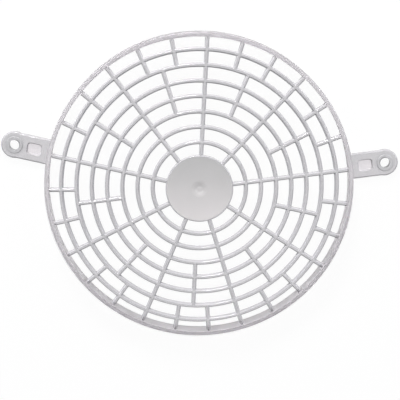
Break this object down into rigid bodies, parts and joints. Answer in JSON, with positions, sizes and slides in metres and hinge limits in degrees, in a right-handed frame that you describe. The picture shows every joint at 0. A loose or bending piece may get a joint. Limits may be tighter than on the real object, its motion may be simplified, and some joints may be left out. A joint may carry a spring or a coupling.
{
  "type": "fan guard",
  "caption": "Round clear plastic fan guard with a polar grille, a shallow rim and two screw ears.",
  "frame": {"origin": "where the guard's axis meets the mounting plane at its back", "axes": "+Z along the guard's axis towards its front; +X along the line through the two screw holes"},
  "size_m": [0.2584, 0.2, 0.0135],
  "materials": {
    "clear_plastic": "clear moulded plastic, slightly hazy, glossy"
  },
  "bodies": {
    "root": {"fan_guard": "clear_plastic"}
  },
  "joints": []
}
